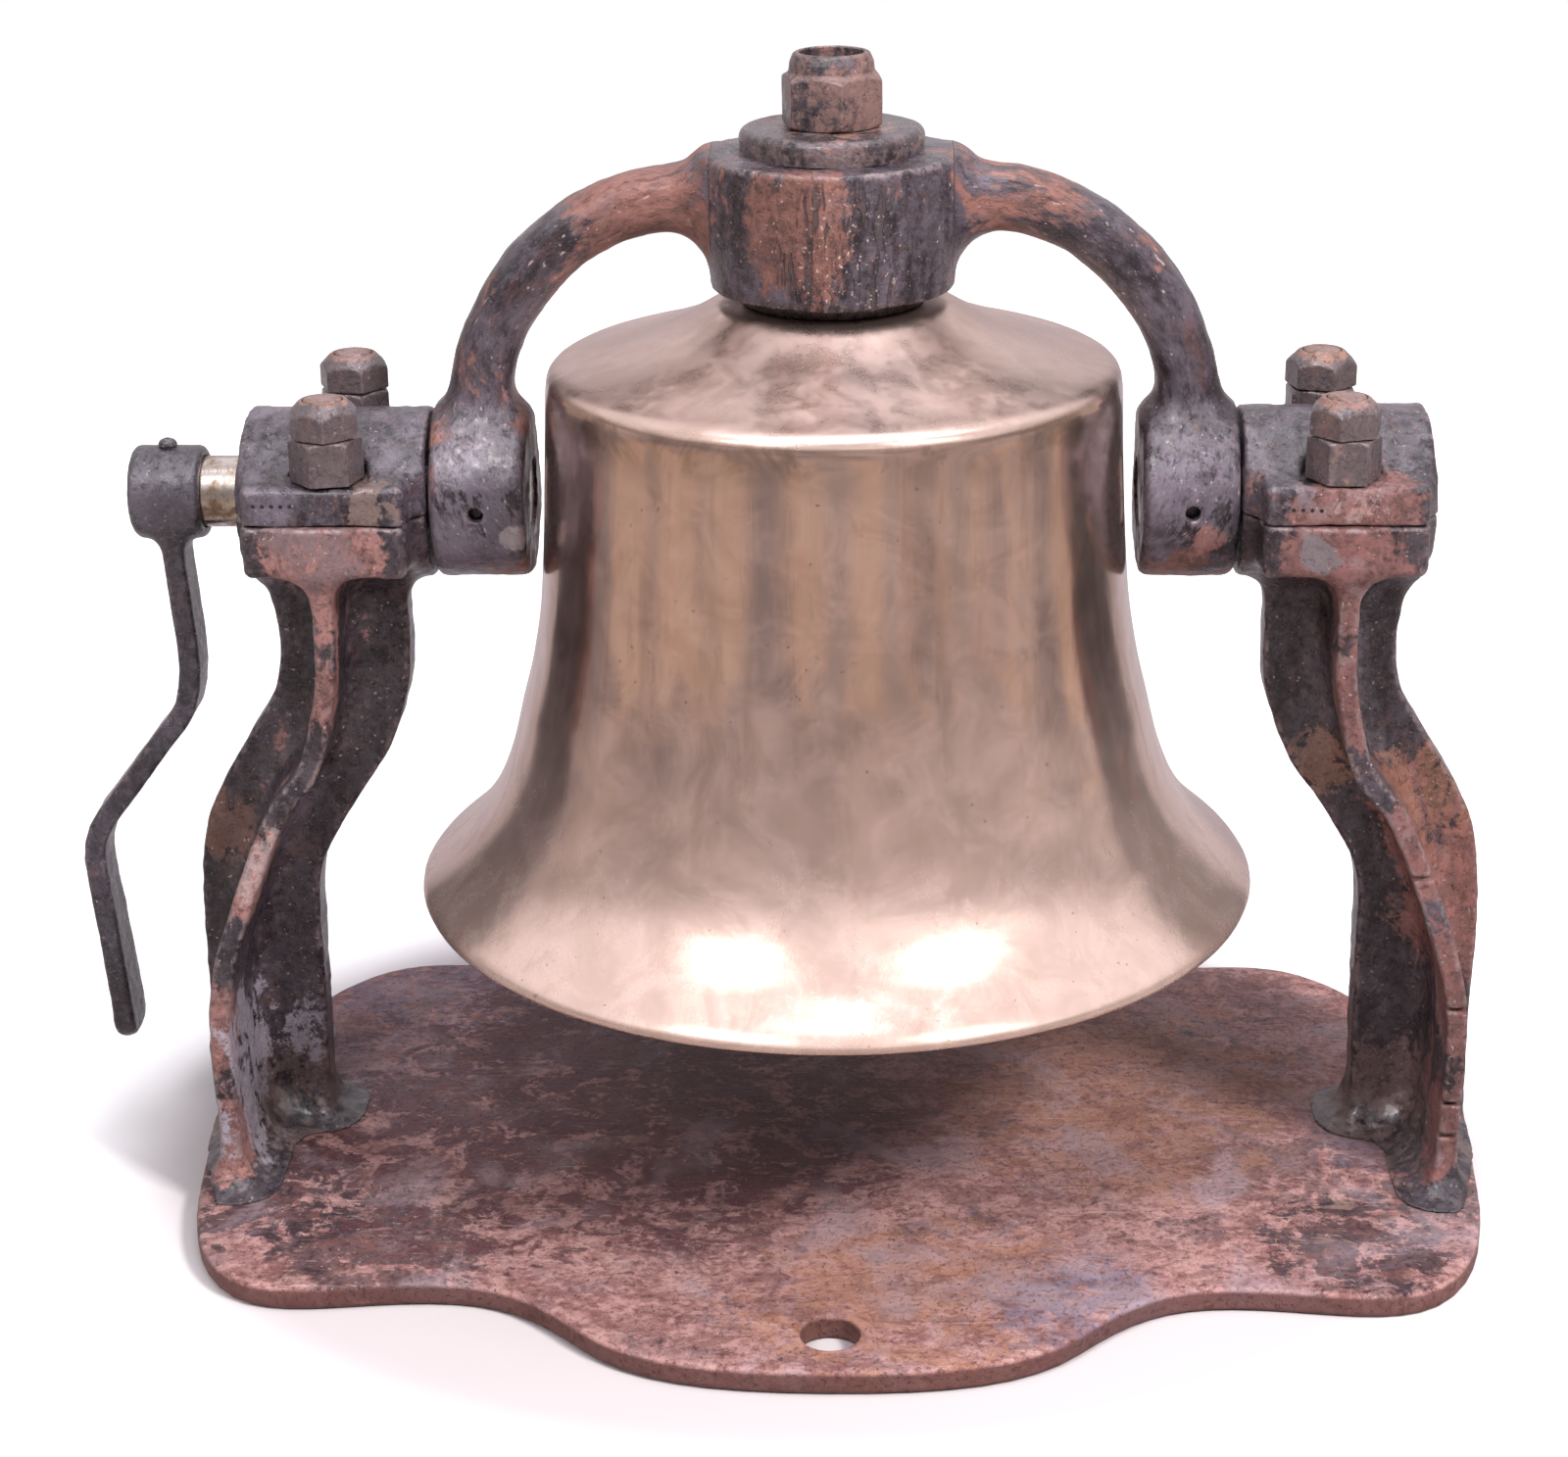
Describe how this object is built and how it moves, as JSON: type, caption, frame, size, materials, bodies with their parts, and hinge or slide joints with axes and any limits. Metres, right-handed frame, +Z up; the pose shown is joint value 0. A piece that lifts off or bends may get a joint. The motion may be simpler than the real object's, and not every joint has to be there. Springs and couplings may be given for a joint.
{
  "type": "yard dinner bell",
  "caption": "Bronze bell hung mouth-down from an arched iron yoke that rocks by a side crank in split bearings on two curved uprights over a lobed base plate.",
  "frame": {"origin": "on the floor plane, under the bell's axis, at the middle of the base plate's underside", "axes": "+Z up, X along the trunnion axis with the crank at -X, -Y towards the front bolt hole"},
  "size_m": [0.7326, 0.512, 0.5815],
  "materials": {
    "cast_iron": "worn dark paint over cast iron with rust patches",
    "rusty_iron": "brown rust with dark worn patches",
    "bell_bronze": "polished bronze with fine scratches and tarnish",
    "bearing_brass": "machined brass, dull",
    "shaft_steel": "bright turned steel with a brown tint"
  },
  "bodies": {
    "cradle": {"base_plate": "rusty_iron", "upright_right": "cast_iron", "upright_left": "cast_iron", "bearing_cap_right": "cast_iron", "bearing_cap_left": "cast_iron", "lower_brass_right": "bearing_brass", "lower_brass_left": "bearing_brass", "upper_brass_right": "bearing_brass", "upper_brass_left": "bearing_brass", "cap_stud_front_right": "cast_iron", "cap_stud_front_left": "cast_iron", "cap_stud_back_right": "cast_iron", "cap_stud_back_left": "cast_iron", "cap_nut_front_right": "rusty_iron", "cap_nut_front_left": "rusty_iron", "cap_nut_back_right": "rusty_iron", "cap_nut_back_left": "rusty_iron", "lock_nut_front_right": "rusty_iron", "lock_nut_front_left": "rusty_iron", "lock_nut_back_right": "rusty_iron", "lock_nut_back_left": "rusty_iron"},
    "swinging_yoke": {"yoke": "rusty_iron", "trunnion_shaft_left": "shaft_steel", "trunnion_pin_right": "shaft_steel", "cross_pin_right": "cast_iron", "cross_pin_left": "cast_iron", "bell": "bell_bronze", "crown_spacer": "cast_iron", "inner_washer": "cast_iron", "hanger_bolt": "cast_iron", "top_washer": "rusty_iron", "hanger_nut": "rusty_iron", "crank_lever": "cast_iron", "crank_set_pin": "cast_iron", "clapper_pin": "shaft_steel", "clapper_cotter": "shaft_steel"},
    "clapper": {"clapper": "cast_iron"}
  },
  "joints": [
    {"name": "bell_swing", "type": "hinge", "parent": "cradle", "child": "swinging_yoke", "pos_m": [0, 0, 0.3635], "axis": [1, 0, 0], "range_deg": [-80, 80]},
    {"name": "clapper_swing", "type": "hinge", "parent": "swinging_yoke", "child": "clapper", "pos_m": [0, 0, 0.406], "axis": [1, 0, 0], "range_deg": [-31, 31]}
  ]
}
